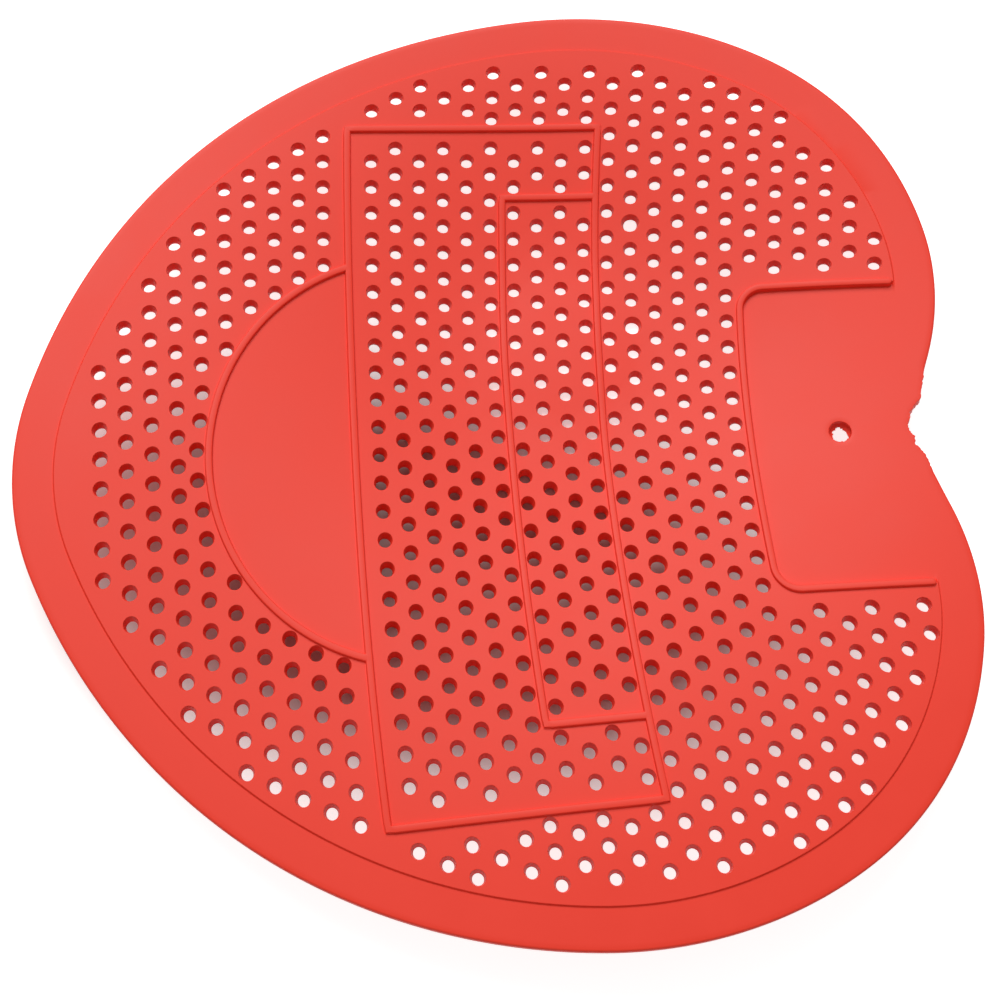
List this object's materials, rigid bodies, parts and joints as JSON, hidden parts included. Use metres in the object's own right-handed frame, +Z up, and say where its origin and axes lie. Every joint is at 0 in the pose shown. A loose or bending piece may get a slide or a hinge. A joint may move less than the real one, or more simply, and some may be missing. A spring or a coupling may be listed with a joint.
{
  "type": "urinal deodorizer screen",
  "caption": "Heart-shaped soft vinyl drain screen with a field of round holes, thin raised ribs, blank panels and a hanging hole beside its cleft.",
  "frame": {"origin": "middle of the screen's outline in plan, at the height of the flat patch that it rests on", "axes": "+X from the heart's tip towards its cleft, +Y across the sheet, +Z up out of the face with the ribs"},
  "size_m": [0.1746, 0.184, 0.0158],
  "materials": {
    "soft_vinyl": "satin, moulded in one colour"
  },
  "bodies": {
    "root": {"screen": "soft_vinyl"}
  },
  "joints": []
}
